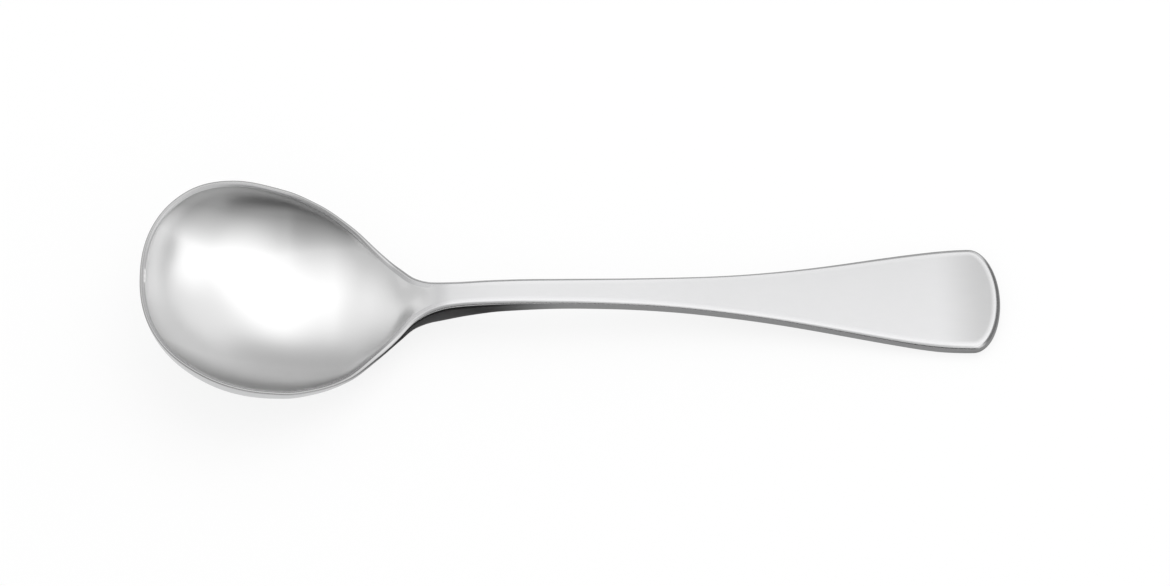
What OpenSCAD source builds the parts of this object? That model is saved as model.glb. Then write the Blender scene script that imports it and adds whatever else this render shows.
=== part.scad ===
// Soup spoon, forged from one piece of stainless steel.
// X runs from the bowl's tip to the end of the handle, Y across, Z up from the table that
// the spoon rests on. The origin is on the table, under the middle of the spoon.
// Places along the spoon are measured from the bowl's tip.

/* [Overall] */
// Length from the bowl's tip to the end of the handle
overall_l = 176; // [168:1:190]

/* [Bowl] */
// Place where the outline is narrowest, behind the bowl
waist_at = 66; // [64:0.5:70]
// Width of the bowl at its widest
bowl_w = 48.4; // [42:0.1:52]
// Place where the bowl is widest
wide_at = 22.3; // [20:0.1:27]
// Place where the bowl rests on the table
rest_at = 30; // [27:0.5:33]
// Height of the rim at the tip
tip_h = 21.8; // [18:0.1:24]
// Height of the rim at its lowest, beside the neck
dip_h = 6.7; // [6:0.1:7.6]
// Place where the rim is lowest
dip_at = 49.5; // [48:0.5:52]
// Place where the hollow runs out into the neck
hollow_end_at = 60; // [57:0.5:61.5]
// Thickness of the bowl where it rests
wall_t = 1.4; // [1:0.1:2]
// Thickness of the lip round the rim
lip_t = 1.1; // [0.9:0.1:1.6]
// Radius on the outer edge of the lip
lip_r = 0.45; // [0.2:0.05:0.6]

/* [Neck and stem] */
// Place where the neck is deepest, behind the bowl
neck_at = 62; // [61.5:0.5:64]
// Width of the neck at its narrowest
neck_w = 5.8; // [5:0.1:7]
// Depth of the neck
neck_t = 6.1; // [5:0.1:6.8]
// Radius on the upper edges of the neck
neck_r = 0.9; // [0.5:0.05:1]
// Height of the top face at the crest of the handle
crest_h = 11.2; // [10:0.1:13]
// Place of the crest
crest_at = 76; // [72:0.5:80]
// Depth of the handle at the crest
crest_t = 4.1; // [3.4:0.1:4.6]
// Thickness of the handle where it is thinnest
stem_t = 2.8; // [2.2:0.1:3.2]
// Place where the handle is thinnest
thin_at = 130; // [124:1:138]
// Radius on the upper edges of the stem
stem_r = 0.6; // [0.3:0.05:0.7]

/* [Handle end] */
// Place where the broad end of the handle starts
end_from = 118; // [110:1:122]
// Width of the handle end
end_w = 23.5; // [18:0.5:26]
// Thickness of the handle end
end_t = 2.9; // [2.7:0.1:3.6]
// Length of the curve that closes the end
end_round = 6; // [4:0.5:9]
// Radius on the upper edges of the end
end_r = 1.1; // [0.6:0.05:1.15]
// Height of the crown across the top face
crown_h = 0.25; // [0.1:0.05:0.5]
// Length of the flat underneath that lies on the table
flat_l = 11; // [9:0.5:15]

/* [Hidden] */

// Fall of the rim from the tip to its lowest place: share of the way, share of the fall left
rim_shares = [[0, 1], [0.18, 0.94], [0.36, 0.75], [0.54, 0.5], [0.72, 0.26], [0.88, 0.06], [1, 0]];
// Climb of the top face from there to the crest
climb_shares = [[0, 0], [0.23, 0.39], [0.5, 0.84], [0.85, 0.99], [1, 1]];
// Fall of the top face from the crest to the end of the handle
fall_shares = [[0, 1], [0.1, 0.95], [0.28, 0.78], [0.48, 0.48], [0.7, 0.19], [0.88, 0.03], [1, 0]];
// Half width between the widest place and the waist: share of the way, share of the extra width
flank_shares = [[0, 1], [0.15, 0.975], [0.3, 0.88], [0.45, 0.7], [0.58, 0.45], [0.68, 0.25],
                [0.76, 0.1], [0.84, 0.032], [0.92, 0.007], [1, 0]];
// Rise of the underside from where the bowl rests to the neck
heel_shares = [[0, 0], [0.25, 0.06], [0.47, 0.27], [0.66, 0.5], [0.81, 0.71], [1, 1]];
// Rise of the hollow's floor from there to where the hollow runs out
floor_shares = [[0, 0], [0.27, 0.067], [0.5, 0.235], [0.7, 0.45], [0.867, 0.78], [1, 1]];
// Extra thickness of the handle between the crest and its thinnest place
taper_shares = [[0, 1], [0.22, 0.25], [0.52, 0.1], [1, 0]];
// How late the handle widens, and how full the outline of the tip is
widen_share = 2;
tip_full_share = 2.25;
// Steepness of the dish across the bowl, and across the run-out by the neck
dish_share = 0.5;
run_out_share = 1.2;
// Radius of a lower edge, as a share of the upper edge's radius
under_share = 1.1;
// Place where the dish starts to soften, as a share of the way to the rim's lowest place
soften_share = 0.8;

// Width of the level strip beside each rounded edge
land = lip_t - lip_r;
// Length over which the lip becomes the neck's edge
edge_blend = neck_at - dip_at;
// Place where the flat under the handle starts
flat_from = overall_l - flat_l;
// Step used to find the direction of the outline
probe = overall_l / 20000;

// Steps along each zone and across the faces
bowl_steps = 46;
neck_steps = 9;
stem_steps = 16;
end_steps = 30;
edge_steps = 3;
dish_steps = 18;

function clamp(x) = min(1, max(0, x));
function mix(a, b, t) = a + (b - a) * t;
function smooth(t) = let (c = clamp(t)) c * c * (3 - 2 * c);

// Smooth curve through rows of [place, value] that never overshoots and is level at both ends
function secant(rows, i) = (rows[i + 1][1] - rows[i][1]) / (rows[i + 1][0] - rows[i][0]);
function slope_at(rows, i) =
    i == 0 || i == len(rows) - 1 ? 0
    : let (a = secant(rows, i - 1), b = secant(rows, i)) a * b <= 0 ? 0 : 2 * a * b / (a + b);
function row_before(rows, x, i = 0) =
    i == len(rows) - 2 || x < rows[i + 1][0] ? i : row_before(rows, x, i + 1);
function through(rows, x) =
    let (i = row_before(rows, x), step = rows[i + 1][0] - rows[i][0], t = clamp((x - rows[i][0]) / step))
    rows[i][1] * (1 + 2 * t) * (1 - t) ^ 2 + rows[i + 1][1] * t ^ 2 * (3 - 2 * t)
    + step * (slope_at(rows, i) * t * (1 - t) ^ 2 - slope_at(rows, i + 1) * t ^ 2 * (1 - t));
function way(x, from, to) = clamp((x - from) / (to - from));

// Outline seen from above: half width at a place
function tip_half_w(x) = bowl_w / 2 * (1 - (1 - x / wide_at) ^ 2) ^ (1 / tip_full_share);
function flank_half_w(x) = mix(neck_w / 2, bowl_w / 2, through(flank_shares, way(x, wide_at, waist_at)));
function handle_half_w(x) =
    mix(neck_w, end_w, smooth(way(x, waist_at, overall_l - end_round) ^ widen_share)) / 2
    * sqrt(1 - way(x, overall_l - end_round, overall_l) ^ 2);
function half_w(x) = x < wide_at ? tip_half_w(x) : x < waist_at ? flank_half_w(x) : handle_half_w(x);

// Side view: the rim and top face, the underside, and the floor of the hollow
function top_h(x) =
    x < dip_at ? mix(dip_h, tip_h, through(rim_shares, way(x, 0, dip_at)))
    : x < crest_at ? mix(dip_h, crest_h, through(climb_shares, way(x, dip_at, crest_at)))
    : mix(end_t, crest_h, through(fall_shares, way(x, crest_at, overall_l)));
function handle_t(x) =
    x < crest_at ? mix(neck_t, crest_t, smooth(way(x, neck_at, crest_at)))
    : x < thin_at ? mix(stem_t, crest_t, through(taper_shares, way(x, crest_at, thin_at)))
    : mix(stem_t, end_t, smooth(way(x, thin_at, flat_from)));
heel_h = top_h(neck_at) - neck_t;
handle_places = [for (i = [1 : 8]) mix(neck_at, flat_from, i / 9)];
under_rows = concat(
    [for (row = heel_shares) [mix(rest_at, neck_at, row[0]), heel_h * row[1]]],
    [for (x = handle_places) [x, top_h(x) - handle_t(x)]],
    [[flat_from, 0], [overall_l, 0]]);
function quarter(t) = 1 - sqrt(1 - t ^ 2);
function under_h(x) =
    x < rest_at ? (tip_h - lip_r) * quarter(1 - x / rest_at) : through(under_rows, x);
function floor_h(x) =
    x < rest_at ? mix(wall_t, tip_h, quarter(1 - way(x, lip_t, rest_at)))
    : mix(wall_t, top_h(hollow_end_at), through(floor_shares, way(x, rest_at, hollow_end_at)));
function dish_depth(x) = x > hollow_end_at ? 0 : max(0, top_h(x) - floor_h(x));
function crown_at(x, half) = crown_h * (half / (end_w / 2)) ^ 2 * smooth(way(x, crest_at, end_from));
edge_rows = [[dip_at - edge_blend, lip_r], [neck_at, neck_r], [end_from, stem_r], [flat_from, end_r],
             [overall_l, end_r]];
function edge_r(x) = x < dip_at - edge_blend ? lip_r : through(edge_rows, x);

// How much the outline's own direction counts, beside the plain direction across the spoon
function turned(x) = max(1 - smooth(way(x, hollow_end_at - edge_blend / 2, neck_at)),
                         smooth(way(x, flat_from, overall_l - end_round)));
// Direction that points inwards from the outline, at a right angle to it
function inward(x) =
    x <= 0 ? [1, 0]
    : x >= overall_l ? [-1, 0]
    : let (gap = min(probe, x, overall_l - x),
           lean = turned(x) * (half_w(x + gap) - half_w(x - gap)) / (2 * gap))
      [lean, -1] / norm([lean, 1]);

// A point a given distance inside the outline, at a height above or below the top face
function inside(x, side, inset, rise) =
    let (to = inward(x), place = x + to[0] * inset)
    [place, side * (half_w(x) + to[1] * inset), top_h(place) + rise];

// Half of a section's top: the rounded edge, from the side of the spoon inwards
function top_edge(x, side) =
    [for (i = [0 : edge_steps])
        let (turn = 90 * i / edge_steps)
        inside(x, side, edge_r(x) * (1 - cos(turn)), -edge_r(x) * (1 - sin(turn)))];

// The dish or the crowned face, across the spoon between the two level strips
function top_middle(x) =
    let (rim = inside(x, 1, edge_r(x) + land, 0), depth = dish_depth(rim[0]),
         crown = crown_at(rim[0], rim[1]),
         power = mix(dish_share, run_out_share, smooth(way(rim[0], soften_share * dip_at, hollow_end_at))))
    [for (i = [0 : dish_steps])
        let (t = -cos(180 * i / dish_steps), bulge = max(0, 1 - t ^ 2))
        [rim[0], t * rim[1], rim[2] - depth * bulge ^ power + crown * bulge]];

// Half of a section's underside: an oval in the bowl, a deep rounded edge under the handle
belly_turns = [7, 14, 22, 32, 44, 58, 73, 90];
keel = len(belly_turns) - 1;
function oval(x, side, turn) =
    let (from = top_h(x) - edge_r(x))
    [x, side * half_w(x) * cos(turn), mix(from, under_h(x), sin(turn))];
function square_edge(x, side, i) =
    let (r = under_share * edge_r(x), turn = 90 * min(i, edge_steps) / edge_steps,
         corner = inside(x, side, r * (1 - cos(turn)), 0),
         spread = 1 - way(i, edge_steps, keel))
    [corner[0], corner[1] * spread, under_h(corner[0]) + r * (1 - sin(turn))];
function belly(x, side) =
    let (square = smooth(way(x, dip_at, neck_at)))
    [for (i = [0 : keel]) mix(oval(x, side, belly_turns[i]), square_edge(x, side, i), square)];

function reversed(list) = [for (i = [len(list) - 1 : -1 : 0]) list[i]];
function section(x) =
    concat(top_edge(x, -1), top_middle(x), reversed(top_edge(x, 1)), belly(x, 1),
           reversed([for (i = [0 : keel - 1]) belly(x, -1)[i]]));

// Closed solid through a row of sections
function distinct(points, face) =
    points[face[0]] != points[face[1]] && points[face[1]] != points[face[2]]
    && points[face[2]] != points[face[0]];
module skin(places) {
    rings = [for (x = places) section(x)];
    count = len(rings[0]);
    last = len(rings) - 1;
    points = [for (ring = rings) each ring];
    walls = [for (i = [0 : last - 1], j = [0 : count - 1])
        let (a = i * count + j, b = i * count + (j + 1) % count)
        each [[a, b, a + count], [b, b + count, a + count]]];
    start_cap = [if (half_w(places[0]) > 0) for (j = [1 : count - 2]) [0, j + 1, j]];
    end_cap = [if (half_w(places[last]) > 0) for (j = [1 : count - 2])
        [last * count, last * count + j, last * count + j + 1]];
    polyhedron(points, [for (face = concat(walls, start_cap, end_cap)) if (distinct(points, face)) face]);
}

module zone(places) {
    translate([-overall_l / 2, 0, 0]) skin(places);
}

module bowl() {
    color("gainsboro")
        zone([for (i = [0 : bowl_steps]) neck_at * (1 - cos(90 * i / bowl_steps))]);
}

module neck() {
    color("silver")
        zone([for (i = [0 : neck_steps]) mix(neck_at, crest_at, i / neck_steps)]);
}

module stem() {
    color("lightgray")
        zone([for (i = [0 : stem_steps]) mix(crest_at, end_from, i / stem_steps)]);
}

module handle_end() {
    color("gainsboro")
        zone([for (i = [0 : end_steps]) mix(end_from, overall_l, sin(90 * i / end_steps))]);
}

bowl();
neck();
stem();
handle_end();
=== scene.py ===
# %% [markdown]
# Soup spoon. The real one is a single forging of stainless steel, so there is nothing to
# assemble: the whole lesson is about one smooth skin and how light lies on it. Steel has
# almost no colour of its own. What we see is the room, bent by the shape, so the shape has to
# be right before the material can be.

# %% Load the measured model
import math

import bmesh
import bpy
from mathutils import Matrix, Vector


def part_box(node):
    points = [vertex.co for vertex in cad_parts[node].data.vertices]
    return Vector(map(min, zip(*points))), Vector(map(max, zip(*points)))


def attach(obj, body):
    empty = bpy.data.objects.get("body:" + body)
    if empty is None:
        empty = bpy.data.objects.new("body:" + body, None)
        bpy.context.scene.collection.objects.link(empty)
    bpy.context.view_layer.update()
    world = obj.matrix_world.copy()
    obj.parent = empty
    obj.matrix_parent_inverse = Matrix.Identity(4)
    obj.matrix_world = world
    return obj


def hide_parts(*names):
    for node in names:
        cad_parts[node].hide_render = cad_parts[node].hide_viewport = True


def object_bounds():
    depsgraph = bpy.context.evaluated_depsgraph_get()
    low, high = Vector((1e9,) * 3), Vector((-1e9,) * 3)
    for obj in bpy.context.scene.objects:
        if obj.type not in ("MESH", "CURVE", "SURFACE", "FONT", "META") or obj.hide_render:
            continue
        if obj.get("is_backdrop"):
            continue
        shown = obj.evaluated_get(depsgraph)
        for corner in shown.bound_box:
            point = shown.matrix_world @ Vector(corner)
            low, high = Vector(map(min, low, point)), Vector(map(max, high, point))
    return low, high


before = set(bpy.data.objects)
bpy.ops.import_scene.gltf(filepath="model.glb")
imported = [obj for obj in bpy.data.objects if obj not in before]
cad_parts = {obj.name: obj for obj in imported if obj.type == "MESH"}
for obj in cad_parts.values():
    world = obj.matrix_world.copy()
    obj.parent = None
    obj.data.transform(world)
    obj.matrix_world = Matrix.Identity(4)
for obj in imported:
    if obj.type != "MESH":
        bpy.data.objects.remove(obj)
low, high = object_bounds()
MM = 0.001
print("measured model, mm:", [round((b - a) / MM, 2) for a, b in zip(low, high)])

# %% [markdown]
# The camera comes first, because every later choice is judged through it. The photograph was
# taken from a little under a metre with a long lens, looking down on the spoon, with the
# picture turned slightly so that the handle runs level. Three angles and a distance say all
# of that. Placing a camera by angles is easier to correct than placing it by coordinates.

# %% Camera
AZIMUTH = math.radians(1.6)
ELEVATION = math.radians(62.1)
ROLL = math.radians(-2.8)
DISTANCE = 0.9
LENS = 134.5
AIM = Vector((0.0023, 0.0007, 0.008))
CLIP_NEAR, CLIP_FAR = 0.05, 50


def direction(azimuth, elevation):
    """Unit vector from the spoon towards someone who stands at these angles."""
    flat = math.cos(elevation)
    return Vector((math.sin(azimuth) * flat, -math.cos(azimuth) * flat, math.sin(elevation)))


def add_camera():
    camera = bpy.data.objects.new("camera", bpy.data.cameras.new("camera"))
    bpy.context.collection.objects.link(camera)
    towards = direction(AZIMUTH, ELEVATION)
    camera.location = AIM + towards * DISTANCE
    camera.rotation_euler = (-towards).to_track_quat("-Z", "Y").to_euler()
    camera.rotation_euler.rotate_axis("Z", ROLL)
    camera.data.lens = LENS
    camera.data.clip_start = CLIP_NEAR
    camera.data.clip_end = CLIP_FAR
    bpy.context.scene.camera = camera
    return camera


camera = add_camera()
print("camera at", [round(c, 3) for c in camera.location])

# %% [markdown]
# A forged spoon could be modelled by pushing a subdivided cage about until it looks right.
# That is quick, but a polished surface shows every lump of such a cage. So the skin is lofted
# instead: one function gives the spoon's section at any place along its length, and hundreds
# of sections are joined. The function needs only a few curves: the outline seen from above,
# the top seen from the side, and the thickness. All lengths are millimetres, and places are
# measured from the bowl's tip.

# %% Sizes of the spoon
def end_of(node, side):
    """Where a zone of the measured model starts (0) or ends (1) along the spoon."""
    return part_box(node)[side].x / MM


OVERALL_L = (high.x - low.x) / MM
MIDDLE = OVERALL_L / 2
NECK_AT = end_of("neck", 0) + MIDDLE
CREST_AT = end_of("neck", 1) + MIDDLE
END_FROM = end_of("stem", 1) + MIDDLE
WAIST_AT, BOWL_W, WIDE_AT, REST_AT = 66, 48.4, 22.3, 30
TIP_H, DIP_H, DIP_AT, HOLLOW_END_AT = 21.8, 6.7, 49.5, 60
WALL_T, LIP_T, LIP_R = 1.4, 1.1, 0.3
NECK_W, NECK_T, NECK_R = 5.8, 6.1, 0.9
CREST_H, CREST_T = 11.2, 4.1
STEM_T, THIN_AT, STEM_R = 2.8, 130, 0.6
END_W, END_T, END_ROUND, END_R, CROWN_H, FLAT_L = 23.5, 2.9, 6, 1.1, 0.25, 11
FLAT_FROM = OVERALL_L - FLAT_L
EDGE_BLEND = NECK_AT - DIP_AT
print("zones start at", round(NECK_AT, 2), round(CREST_AT, 2), round(END_FROM, 2))

# %% [markdown]
# Each side curve is a short table of shares with a smooth line drawn through it.
# The line must not overshoot between two rows, or the metal would show a ripple, so each
# slope is the harmonic mean of its neighbours and the two ends are level.

# %% Smooth curves through a few rows
def clamp(x):
    return min(1.0, max(0.0, x))


def mix(a, b, t):
    return a + (b - a) * t


def smooth(t):
    t = clamp(t)
    return t * t * (3 - 2 * t)


def way(x, start, stop):
    return clamp((x - start) / (stop - start))


def through(rows, x):
    """Height of the smooth curve through rows of (place, value)."""
    secants = [(b[1] - a[1]) / (b[0] - a[0]) for a, b in zip(rows, rows[1:])]
    slopes = [0.0]
    for a, b in zip(secants, secants[1:]):
        slopes.append(2 * a * b / (a + b) if a * b > 0 else 0.0)
    slopes.append(0.0)
    i = max([n for n in range(len(rows) - 1) if rows[n][0] <= x] or [0])
    step = rows[i + 1][0] - rows[i][0]
    t = clamp((x - rows[i][0]) / step)
    start, stop = rows[i][1], rows[i + 1][1]
    bend = slopes[i] * t * (1 - t) ** 2 - slopes[i + 1] * t * t * (1 - t)
    return start * (1 + 2 * t) * (1 - t) ** 2 + stop * t * t * (3 - 2 * t) + step * bend


RIM_SHARES = [(0, 1), (0.18, 0.94), (0.36, 0.75), (0.54, 0.5), (0.72, 0.26), (0.88, 0.06), (1, 0)]
CLIMB_SHARES = [(0, 0), (0.23, 0.39), (0.5, 0.84), (0.85, 0.99), (1, 1)]
FALL_SHARES = [(0, 1), (0.1, 0.95), (0.28, 0.78), (0.48, 0.48), (0.7, 0.19), (0.88, 0.03), (1, 0)]
FLANK_SHARES = [(0, 1), (0.15, 0.975), (0.3, 0.88), (0.45, 0.7), (0.58, 0.45), (0.68, 0.25),
                (0.76, 0.1), (0.84, 0.032), (0.92, 0.007), (1, 0)]
HEEL_SHARES = [(0, 0), (0.25, 0.06), (0.47, 0.27), (0.66, 0.5), (0.81, 0.71), (1, 1)]
FLOOR_SHARES = [(0, 0), (0.27, 0.067), (0.5, 0.235), (0.7, 0.45), (0.867, 0.78), (1, 1)]
TAPER_SHARES = [(0, 1), (0.22, 0.25), (0.52, 0.1), (1, 0)]
WIDEN_SHARE, TIP_FULL_SHARE, DISH_SHARE, RUN_OUT_SHARE = 2, 2.25, 0.7, 1.2
UNDER_SHARE, SOFTEN_SHARE, TIP_DISH_SHARE = 1.1, 0.8, 0.62
print("half way down the rim's fall:", round(through(RIM_SHARES, 0.5), 3))

# %% [markdown]
# The outline seen from above: a slightly squared ellipse round the tip, shoulders that run
# into the narrow neck, and a handle that stays slim and then opens like a paddle.

# %% Outline and side view
def half_w(x):
    if x < WIDE_AT:
        return BOWL_W / 2 * (1 - (1 - max(x, 0) / WIDE_AT) ** 2) ** (1 / TIP_FULL_SHARE)
    if x < WAIST_AT:
        return mix(NECK_W / 2, BOWL_W / 2, through(FLANK_SHARES, way(x, WIDE_AT, WAIST_AT)))
    opening = smooth(way(x, WAIST_AT, OVERALL_L - END_ROUND) ** WIDEN_SHARE)
    closing = math.sqrt(1 - way(x, OVERALL_L - END_ROUND, OVERALL_L) ** 2)
    return mix(NECK_W, END_W, opening) / 2 * closing


def top_h(x):
    if x < DIP_AT:
        return mix(DIP_H, TIP_H, through(RIM_SHARES, way(x, 0, DIP_AT)))
    if x < CREST_AT:
        return mix(DIP_H, CREST_H, through(CLIMB_SHARES, way(x, DIP_AT, CREST_AT)))
    return mix(END_T, CREST_H, through(FALL_SHARES, way(x, CREST_AT, OVERALL_L)))


def handle_t(x):
    if x < CREST_AT:
        return mix(NECK_T, CREST_T, smooth(way(x, NECK_AT, CREST_AT)))
    if x < THIN_AT:
        return mix(STEM_T, CREST_T, through(TAPER_SHARES, way(x, CREST_AT, THIN_AT)))
    return mix(STEM_T, END_T, smooth(way(x, THIN_AT, FLAT_FROM)))


HANDLE_SPANS = 9
heel_h = top_h(NECK_AT) - NECK_T
handle_places = [mix(NECK_AT, FLAT_FROM, i / HANDLE_SPANS) for i in range(1, HANDLE_SPANS)]
under_rows = ([(mix(REST_AT, NECK_AT, s), heel_h * h) for s, h in HEEL_SHARES]
              + [(x, top_h(x) - handle_t(x)) for x in handle_places]
              + [(FLAT_FROM, 0), (OVERALL_L, 0)])


def quarter(t, power=0.5):
    """Rise of a quarter of an oval. A greater power makes its end less steep."""
    return 1 - max(0, 1 - t * t) ** power


def under_h(x):
    if x < REST_AT:
        return (TIP_H - LIP_R) * quarter(1 - x / REST_AT)
    return through(under_rows, x)


def floor_h(x):
    if x < REST_AT:
        return mix(WALL_T, TIP_H, quarter(1 - way(x, LIP_T, REST_AT), TIP_DISH_SHARE))
    climb = through(FLOOR_SHARES, way(x, REST_AT, HOLLOW_END_AT))
    return mix(WALL_T, top_h(HOLLOW_END_AT), climb)


edge_rows = [(DIP_AT - EDGE_BLEND, LIP_R), (NECK_AT, NECK_R), (END_FROM, STEM_R),
             (FLAT_FROM, END_R), (OVERALL_L, END_R)]


def edge_r(x):
    return LIP_R if x < edge_rows[0][0] else through(edge_rows, x)


for name, place in (("tip", 0), ("rest", REST_AT), ("dip", DIP_AT), ("crest", CREST_AT)):
    print(f"{name}: top {top_h(place):.2f}, underside {under_h(place):.2f},",
          f"half width {half_w(place):.2f}")

# %% [markdown]
# One section, read anticlockwise when looking along the handle: the rounded upper edge, the
# dish or the gently crowned face, the other upper edge, and then the underside. The bowl's
# underside is an oval and the handle's is flat with deep rounded edges. A share slides from
# one to the other along the shoulders, which is where the forging is hardest to model well.
# The edges step inwards at a right angle to the outline, and not straight across, so that the
# lip keeps its width all round the tip. On the bowl the edge rolls on past upright and leans
# inwards, and the dish starts a little below it, so the wall under the lip stays soft.

# %% One section of the spoon
EDGE_STEPS, DISH_STEPS, BELLY_STEPS = 8, 72, 36
WALL_SHARE, CORNER_SHARE, OVAL_BEND_SHARE = 0.125, 0.5, 0.45
PROBE = OVERALL_L / 20000
LIP_LEAN, LIP_FALL = 45, 0.5


def inward(x):
    """Direction that points into the spoon from its outline."""
    if x <= 0:
        return 1.0, 0.0
    if x >= OVERALL_L:
        return -1.0, 0.0
    turned = max(1 - smooth(way(x, HOLLOW_END_AT - EDGE_BLEND / 2, NECK_AT)),
                 smooth(way(x, FLAT_FROM, OVERALL_L - END_ROUND)))
    gap = min(PROBE, x, OVERALL_L - x)
    lean = turned * (half_w(x + gap) - half_w(x - gap)) / (2 * gap)
    length = math.hypot(lean, 1)
    return lean / length, -1 / length


def inside(x, inset, rise):
    """A point inset from the outline, above or below the top face."""
    to = inward(x)
    place = x + to[0] * inset
    return place, half_w(x) + to[1] * inset, top_h(place) + rise


def hollow_share(x):
    return 1 - smooth(way(x, SOFTEN_SHARE * DIP_AT, HOLLOW_END_AT))


def top_edge(x):
    r, last = edge_r(x), 90 + LIP_LEAN * hollow_share(x)
    turns = [math.radians(last * i / EDGE_STEPS) for i in range(EDGE_STEPS + 1)]
    return [inside(x, r * (1 - math.cos(t)), -r * (1 - math.sin(t))) for t in turns]


def top_middle(x):
    place, half, height = inside(x, edge_r(x) + LIP_T - LIP_R, 0)
    height -= LIP_FALL * hollow_share(place)
    depth = max(0, height - floor_h(place)) if place < HOLLOW_END_AT else 0
    power = mix(RUN_OUT_SHARE, DISH_SHARE, hollow_share(place))
    crown = CROWN_H * (half / (END_W / 2)) ** 2 * smooth(way(place, CREST_AT, END_FROM))
    points = []
    for i in range(DISH_STEPS + 1):
        t = -math.cos(math.pi * i / DISH_STEPS)
        bulge = max(0, 1 - t * t)
        points.append((place, t * half, height - depth * bulge ** power + crown * bulge))
    return points


def belly(x):
    """Half of the underside, from the side of the spoon to its middle."""
    square = smooth(way(x, DIP_AT, NECK_AT))
    edge, r = edge_r(x), UNDER_SHARE * edge_r(x)
    shoulder = top_h(x) - edge
    points = []
    for i in range(1, BELLY_STEPS + 1):
        share = i / BELLY_STEPS
        turn = math.radians(90 * mix(share, share ** 2, OVAL_BEND_SHARE))
        oval = (x, half_w(x) * math.cos(turn), mix(shoulder, under_h(x), math.sin(turn)))
        corner = math.radians(90 * way(share, WALL_SHARE, CORNER_SHARE))
        place, half, _ = inside(x, r * (1 - math.cos(corner)), 0)
        spread = 1 - way(share, CORNER_SHARE, 1)
        height = under_h(place) + r * (1 - math.sin(corner))
        height = mix(shoulder, height, clamp(share / WALL_SHARE))
        points.append(tuple(mix(a, b, square) for a, b in zip(oval, (place, half * spread, height))))
    return points


def mirrored(points):
    return [(x, -y, z) for x, y, z in points]


def section(x):
    edge, under = top_edge(x), belly(x)
    return mirrored(edge) + top_middle(x) + edge[::-1] + under + mirrored(under[:-1])[::-1]


print("points in one section:", len(section(REST_AT)))

# %% [markdown]
# The sections crowd together at both ends, where the outline turns quickly. Sine and cosine
# spacing does that by itself. At the very ends a section shrinks to a line, so its doubled
# points are merged and the faces that vanish are dropped: the skin then closes without a cap.
# Three numbers are stored on each point for the material. The first two say how far the point lies
# in the bowl's hollow and whether it is on a rounded edge, because those places are polished
# differently. The third says how much painted shade the point takes. The painted shade darkens the
# colour of the lip, the steep walls beside it and the handle's last strip, so that they look as if
# they mirror something darker.

# %% Loft the skin
BOWL_RINGS, NECK_RINGS, STEM_RINGS, END_RINGS = 150, 24, 44, 96
MERGE = 0.002
HOLLOW_FADE = 4
# Painted shade: how strongly the lip, the steep walls of the hollow and the handle's last strip are
# darkened in colour, and over what steepness and length.
WALL_SHADE_TURN, LIP_SHADE_SHARE = (0.43, 0.69), 0.85
END_SHADE_WIDTHS, END_SHADE_SHARE = (14, 3.5), 0.5


def places():
    bowl = [NECK_AT * (1 - math.cos(math.pi / 2 * i / BOWL_RINGS)) for i in range(BOWL_RINGS)]
    neck = [mix(NECK_AT, CREST_AT, i / NECK_RINGS) for i in range(NECK_RINGS)]
    stem = [mix(CREST_AT, END_FROM, i / STEM_RINGS) for i in range(STEM_RINGS)]
    end = [mix(END_FROM, OVERALL_L, math.sin(math.pi / 2 * i / END_RINGS))
           for i in range(END_RINGS + 1)]
    return bowl + neck + stem + end


def loft(name):
    rings = [section(x) for x in places()]
    count = len(rings[0])
    edge_points = set(range(EDGE_STEPS + 1))
    edge_points |= {EDGE_STEPS + DISH_STEPS + 2 + i for i in range(EDGE_STEPS + 1)}
    hollow_points = range(EDGE_STEPS + 2, EDGE_STEPS + DISH_STEPS + 1)
    form = bmesh.new()
    hollow = form.verts.layers.float.new("hollow")
    edge = form.verts.layers.float.new("edge")
    painted_shade_layer = form.verts.layers.float.new("painted_shade")
    for ring in rings:
        for i, (x, y, z) in enumerate(ring):
            point = form.verts.new(((x - MIDDLE) * MM, y * MM, z * MM))
            point[edge] = 1.0 if i in edge_points else 0.0
            fading = way(x, HOLLOW_END_AT - HOLLOW_FADE, HOLLOW_END_AT)
            point[hollow] = 1 - fading if i in hollow_points else 0.0
    form.verts.ensure_lookup_table()
    for i in range(len(rings) - 1):
        for j in range(count):
            k = (j + 1) % count
            corners = (i * count + j, i * count + k, (i + 1) * count + k, (i + 1) * count + j)
            form.faces.new([form.verts[c] for c in corners]).smooth = True
    bmesh.ops.remove_doubles(form, verts=form.verts, dist=MERGE * MM)
    bmesh.ops.recalc_face_normals(form, faces=form.faces)
    form.normal_update()
    # The third number is painted shade: a darker colour on the lip, on the steep walls of the hollow
    # and on the handle's last strip.
    for point in form.verts:
        x = point.co.x / MM + MIDDLE
        lip = LIP_SHADE_SHARE * point[edge] * hollow_share(x)
        steep = point[hollow] * way(abs(point.normal.y), *WALL_SHADE_TURN)
        strip = END_SHADE_SHARE * (1 - point[edge]) * smooth(way(OVERALL_L - x, *END_SHADE_WIDTHS))
        point[painted_shade_layer] = max(lip, steep, strip)
    mesh = bpy.data.meshes.new(name)
    form.to_mesh(mesh)
    form.free()
    piece = bpy.data.objects.new(name, mesh)
    bpy.context.collection.objects.link(piece)
    return piece


spoon = loft("spoon")
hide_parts("bowl", "neck", "stem", "handle_end")
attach(spoon, "root")
print("spoon:", len(spoon.data.vertices), "points,", len(spoon.data.polygons), "faces")

# %% [markdown]
# Stainless steel as a material is a metal with a nearly white reflection and a fine finish.
# The bowl is buffed with a soft wheel, the handle is drawn over a belt and keeps fine lines
# along its length, and the edges are the smoothest, from the last wheel and from years of
# hands. Painting these as an image would be easy to do and hard to scale, so they are
# procedural: noise stretched along the spoon makes the lines, and the stored numbers say where
# each finish belongs.

# %% Helpers for materials
def new_material(name):
    material = bpy.data.materials.new(name)
    material.use_nodes = True
    nodes = material.node_tree.nodes
    nodes.clear()
    return material, nodes, material.node_tree.links


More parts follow.
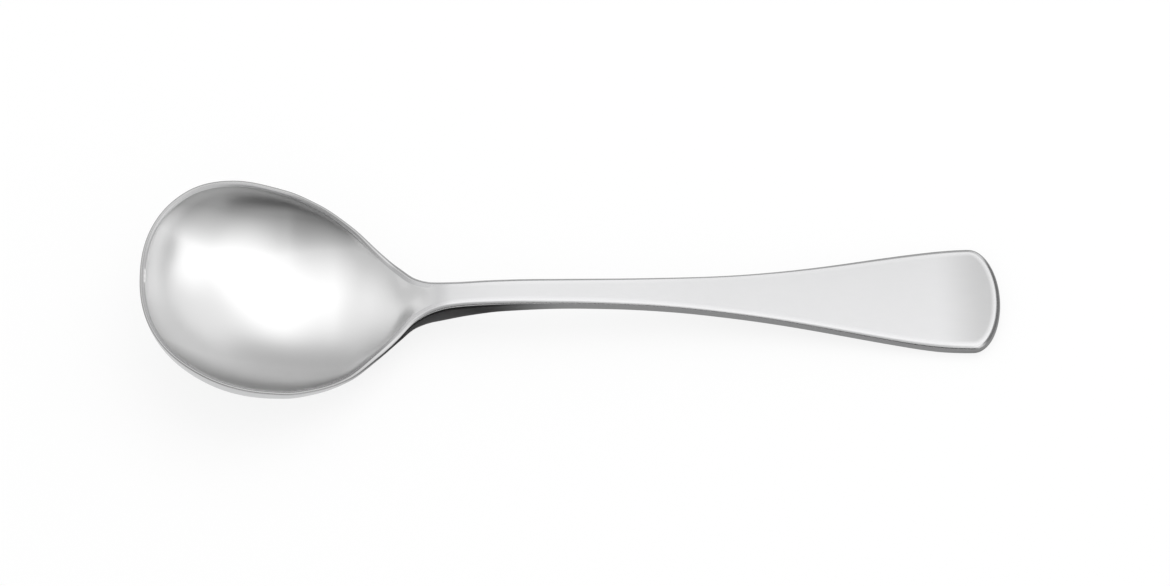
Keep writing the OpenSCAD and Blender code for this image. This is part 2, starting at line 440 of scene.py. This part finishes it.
def noise(nodes, links, source, stretch, detail):
    """Noise with its own stretch along X, Y and Z."""
    mapping = nodes.new("ShaderNodeMapping")
    mapping.inputs["Scale"].default_value = stretch
    texture = nodes.new("ShaderNodeTexNoise")
    texture.inputs["Scale"].default_value = 1
    texture.inputs["Detail"].default_value = detail
    links.new(source, mapping.inputs["Vector"])
    links.new(mapping.outputs["Vector"], texture.inputs["Vector"])
    return texture.outputs["Fac"]


def spread(nodes, links, source, lowest, highest):
    """Moves a value between 0 and 1 into a range."""
    node = nodes.new("ShaderNodeMapRange")
    node.inputs["To Min"].default_value = lowest
    node.inputs["To Max"].default_value = highest
    links.new(source, node.inputs["Value"])
    return node.outputs["Result"]


def blend(nodes, links, share, first, second):
    """Slides from the first value to the second."""
    node = nodes.new("ShaderNodeMix")
    links.new(share, node.inputs["Factor"])
    for value, socket in ((first, node.inputs[2]), (second, node.inputs[3])):
        if isinstance(value, float):
            socket.default_value = value
        else:
            links.new(value, socket)
    return node.outputs[0]


def tint(nodes, links, share, first, second):
    """Slides from the first colour to the second. The first may be a colour made by a node."""
    node = nodes.new("ShaderNodeMix")
    node.data_type = "RGBA"
    links.new(share, node.inputs["Factor"])
    if isinstance(first, tuple):
        node.inputs["A"].default_value = first
    else:
        links.new(first, node.inputs["A"])
    node.inputs["B"].default_value = second
    return node.outputs["Result"]


def stored(nodes, name):
    """One of the numbers that the loft keeps on each point."""
    node = nodes.new("ShaderNodeAttribute")
    node.attribute_name = name
    return node.outputs["Fac"]


print("helpers:", [part.__name__ for part in (new_material, noise, spread, blend, tint, stored)])

# %% [markdown]
# Bare steel is a metallic shader with no colour of its own, so its finish is all in the roughness.
# The handle was brushed along its length: fine lines stretched along the spoon roughen it and shade
# it a little. The hollow was buffed by a round wheel and mirrors more clearly, and so do the edges.
# The lip, the steep walls beside it and the handle's last strip get a painted shade: their colour is
# darkened so that they look greyer. The stored values say which finish goes where, and where the
# painted shade lies.

# %% Polished stainless steel
LINE_STRETCH = (60, 5200, 5200)
SWIRL_STRETCH = (2600, 2600, 2600)
CLOUD_STRETCH = (70, 70, 70)
SATIN_ROUGH, HOLLOW_ROUGH, EDGE_ROUGH = (0.3, 0.46), (0.27, 0.33), (0.2, 0.26)
GRAIN_DEPTH, SATIN_GRAIN_SHARE, HOLLOW_GRAIN_SHARE = 0.004, 0.55, 0.1
SATIN_COLOUR = (0.6, 0.6, 0.605, 1)
HOLLOW_COLOUR = (0.78, 0.78, 0.78, 1)
# Painted shade: the darker colour laid wherever the loft stored painted shade.
PAINTED_SHADE_COLOUR = (0.36, 0.36, 0.36, 1)


def stainless_steel():
    material, nodes, links = new_material("polished_stainless_steel")
    place = nodes.new("ShaderNodeTexCoord").outputs["Object"]
    hollow, edge = stored(nodes, "hollow"), stored(nodes, "edge")
    lines = noise(nodes, links, place, LINE_STRETCH, 3)
    swirls = noise(nodes, links, place, SWIRL_STRETCH, 2)
    clouds = noise(nodes, links, place, CLOUD_STRETCH, 4)

    satin = spread(nodes, links, lines, *SATIN_ROUGH)
    soft = spread(nodes, links, clouds, *HOLLOW_ROUGH)
    buffed = spread(nodes, links, clouds, *EDGE_ROUGH)
    rough = blend(nodes, links, hollow, satin, soft)
    rough = blend(nodes, links, edge, rough, buffed)

    grain = blend(nodes, links, hollow, lines, swirls)
    depth = blend(nodes, links, hollow, SATIN_GRAIN_SHARE, HOLLOW_GRAIN_SHARE)
    bump = nodes.new("ShaderNodeBump")
    bump.inputs["Distance"].default_value = GRAIN_DEPTH * MM
    links.new(depth, bump.inputs["Strength"])
    links.new(grain, bump.inputs["Height"])

    colour = tint(nodes, links, hollow, SATIN_COLOUR, HOLLOW_COLOUR)
    # Painted shade: darkens the colour on the lip, the steep walls and the handle's last strip.
    colour = tint(nodes, links, stored(nodes, "painted_shade"), colour, PAINTED_SHADE_COLOUR)

    shader = nodes.new("ShaderNodeBsdfPrincipled")
    shader.inputs["Metallic"].default_value = 1
    links.new(colour, shader.inputs["Base Color"])
    links.new(rough, shader.inputs["Roughness"])
    links.new(bump.outputs["Normal"], shader.inputs["Normal"])
    output = nodes.new("ShaderNodeOutputMaterial")
    links.new(shader.outputs["BSDF"], output.inputs["Surface"])
    return material


spoon.data.materials.append(stainless_steel())
print("finish:", spoon.data.materials[0].name)

# %% [markdown]
# The spoon lies on a white sweep. The floor shows itself as white to the camera and to the
# steel, and still takes the soft shadow under the spoon.

# %% White floor
FLOOR_SIDE = 12
GLOW_SHARE = 0.82
PAPER_COLOUR = (0.9, 0.9, 0.9, 1)


def straight_rays(nodes, links):
    """1 for rays from the camera, from a mirror or through glass, and 0 for the rest."""
    path = nodes.new("ShaderNodeLightPath")
    total = path.outputs["Is Camera Ray"]
    for name in ("Is Glossy Ray", "Is Transmission Ray"):
        either = nodes.new("ShaderNodeMath")
        either.operation = "MAXIMUM"
        links.new(total, either.inputs[0])
        links.new(path.outputs[name], either.inputs[1])
        total = either.outputs[0]
    return total


def white_floor():
    bpy.ops.mesh.primitive_plane_add(size=FLOOR_SIDE, location=(0, 0, 0))
    floor = bpy.context.object
    floor.name = "floor"
    material, nodes, links = new_material("white_sweep")
    paper = nodes.new("ShaderNodeBsdfDiffuse")
    paper.inputs["Color"].default_value = PAPER_COLOUR
    glow = nodes.new("ShaderNodeEmission")
    share = nodes.new("ShaderNodeMath")
    share.operation = "MULTIPLY"
    share.inputs[1].default_value = GLOW_SHARE
    links.new(straight_rays(nodes, links), share.inputs[0])
    both = nodes.new("ShaderNodeMixShader")
    links.new(share.outputs[0], both.inputs["Fac"])
    links.new(paper.outputs["BSDF"], both.inputs[1])
    links.new(glow.outputs["Emission"], both.inputs[2])
    output = nodes.new("ShaderNodeOutputMaterial")
    links.new(both.outputs["Shader"], output.inputs["Surface"])
    floor.data.materials.append(material)
    floor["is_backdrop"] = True
    return floor


floor = white_floor()
print("floor:", FLOOR_SIDE, "m square")

# %% [markdown]
# A photographer lights metal with what it mirrors: large white surfaces for the bright parts
# and dark cards for the edges that give it shape. So the room itself is plain white, a little
# brighter in a mirror than it is as light on the floor.

# %% World
ROOM_LIGHT, ROOM_MIRRORED = 0.86, 1.0


def white_world():
    world = bpy.data.worlds.new("white_room")
    bpy.context.scene.world = world
    world.use_nodes = True
    nodes, links = world.node_tree.nodes, world.node_tree.links
    nodes.clear()
    strength = nodes.new("ShaderNodeMapRange")
    strength.inputs["To Min"].default_value = ROOM_LIGHT
    strength.inputs["To Max"].default_value = ROOM_MIRRORED
    links.new(straight_rays(nodes, links), strength.inputs["Value"])
    background = nodes.new("ShaderNodeBackground")
    background.inputs["Color"].default_value = (1, 1, 1, 1)
    links.new(strength.outputs["Result"], background.inputs["Strength"])
    output = nodes.new("ShaderNodeOutputWorld")
    links.new(background.outputs["Background"], output.inputs["Surface"])


white_world()
print("world: white, strength", ROOM_LIGHT, "and", ROOM_MIRRORED)

# %% [markdown]
# What the steel mirrors is set by direction. A bright sheet overhead gives the broad
# highlight, a second one beyond the handle lights the inside of the tip, and a third joins
# the two at the front right. A grey card and a black one at the front draw the shadow under
# the far rim, one behind shades the near wall, and one beyond the tip shades the shoulders. A
# grey card lying by the handle and a black one by the neck darken the sides that face the
# table, and a small one stands just beyond the handle to draw its end. All of them fade at
# their borders, so that their reflections end softly, and only the metal sees them. The lamp
# lights only the floor.

# %% Lamps and cards
def point_at(thing, target):
    thing.rotation_euler = (Vector(target) - thing.location).to_track_quat("-Z", "Y").to_euler()


def soft_box(name, azimuth, elevation, distance, size, power):
    data = bpy.data.lights.new(name, "AREA")
    data.shape = "RECTANGLE"
    data.size, data.size_y = size
    data.energy = power
    lamp = bpy.data.objects.new(name, data)
    bpy.context.collection.objects.link(lamp)
    lamp.location = direction(math.radians(azimuth), math.radians(elevation)) * distance
    lamp.visible_glossy = False
    point_at(lamp, (0, 0, 0))
    return lamp


def card_material(name, shade, fade):
    """One shade in the middle and clear at the border, so that its reflection ends softly."""
    material, nodes, links = new_material(name)
    place = nodes.new("ShaderNodeTexCoord").outputs["Generated"]
    centre = nodes.new("ShaderNodeVectorMath")
    centre.operation = "SUBTRACT"
    centre.inputs[1].default_value = (0.5, 0.5, 0)
    links.new(place, centre.inputs[0])
    split = nodes.new("ShaderNodeSeparateXYZ")
    links.new(centre.outputs["Vector"], split.inputs["Vector"])
    shares = []
    for axis in ("X", "Y"):
        size = nodes.new("ShaderNodeMath")
        size.operation = "ABSOLUTE"
        links.new(split.outputs[axis], size.inputs[0])
        ease = nodes.new("ShaderNodeMapRange")
        ease.interpolation_type = "SMOOTHSTEP"
        ease.inputs["From Min"].default_value = 0.5 - fade
        ease.inputs["From Max"].default_value = 0.5
        ease.inputs["To Min"].default_value = 1
        ease.inputs["To Max"].default_value = 0
        links.new(size.outputs[0], ease.inputs["Value"])
        shares.append(ease.outputs["Result"])
    both = nodes.new("ShaderNodeMath")
    both.operation = "MULTIPLY"
    links.new(shares[0], both.inputs[0])
    links.new(shares[1], both.inputs[1])
    clear = nodes.new("ShaderNodeBsdfTransparent")
    face = nodes.new("ShaderNodeEmission")
    face.inputs["Color"].default_value = (shade, shade, shade, 1)
    cover = nodes.new("ShaderNodeMixShader")
    links.new(both.outputs[0], cover.inputs["Fac"])
    links.new(clear.outputs["BSDF"], cover.inputs[1])
    links.new(face.outputs["Emission"], cover.inputs[2])
    output = nodes.new("ShaderNodeOutputMaterial")
    links.new(cover.outputs["Shader"], output.inputs["Surface"])
    return material


def add_card(name, centre, target, size, shade, fade):
    """A sheet or card that faces its target and that only the metal can see."""
    bpy.ops.mesh.primitive_plane_add(size=1, location=centre)
    board = bpy.context.object
    board.name = name
    board.scale = (*size, 1)
    point_at(board, target)
    board.data.materials.append(card_material(name, shade, fade))
    board.visible_camera = False
    board.visible_diffuse = False
    board.visible_shadow = False
    board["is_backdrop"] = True
    return board


def standing_card(name, azimuth, elevation, distance, size, shade, fade):
    """A card that faces the spoon from these angles, in degrees and metres."""
    centre = direction(math.radians(azimuth), math.radians(elevation)) * distance
    return add_card(name, centre, (0, 0, 0), size, shade, fade)


def lying_card(name, x, y, lift, size, shade, fade):
    """A card that lies just above the floor and faces up."""
    return add_card(name, (x, y, lift), (x, y, 1), size, shade, fade)


soft_box("overhead", 150, 70, 0.9, (1.0, 0.7), 2.9)
standing_card("bright_sheet", 136, 77, 0.9, (1.8, 1.25), 1.5, 0.3)
standing_card("handle_sheet", 88, 16, 0.8, (0.8, 0.64), 1.5, 0.35)
standing_card("side_sheet", 58, 47, 0.85, (1.4, 0.75), 1.5, 0.35)
standing_card("front_card", -36, 38, 0.55, (1.0, 0.8), 0.55, 0.35)
standing_card("low_front_card", -8, 5, 0.5, (1.1, 0.34), 0.0, 0.25)
standing_card("back_card", -173, 18, 0.55, (0.86, 0.66), 0.48, 0.35)
standing_card("tip_card", -90, 30, 0.55, (0.7, 0.5), 0.7, 0.35)
lying_card("table_card", 0.045, -0.01, 0.0004, (0.17, 0.14), 0.4, 0.15)
lying_card("neck_card", -0.025, -0.012, 0.0008, (0.05, 0.03), 0.0, 0.38)
add_card("end_card", (0.1, 0.005, 0.01), (0, 0.005, 0.01), (0.06, 0.028), 0.22, 0.2)

# %% [markdown]
# The finished spoon should fill the same box as the measured model, so its sizes are printed once
# more. The finished spoon has to fill the same box as the measured model, because the looks may
# never change the sizes.

# %% Finish
bpy.context.scene.view_settings.view_transform = "Standard"
low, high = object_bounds()
print("visual model, mm:", [round((b - a) / MM, 2) for a, b in zip(low, high)])
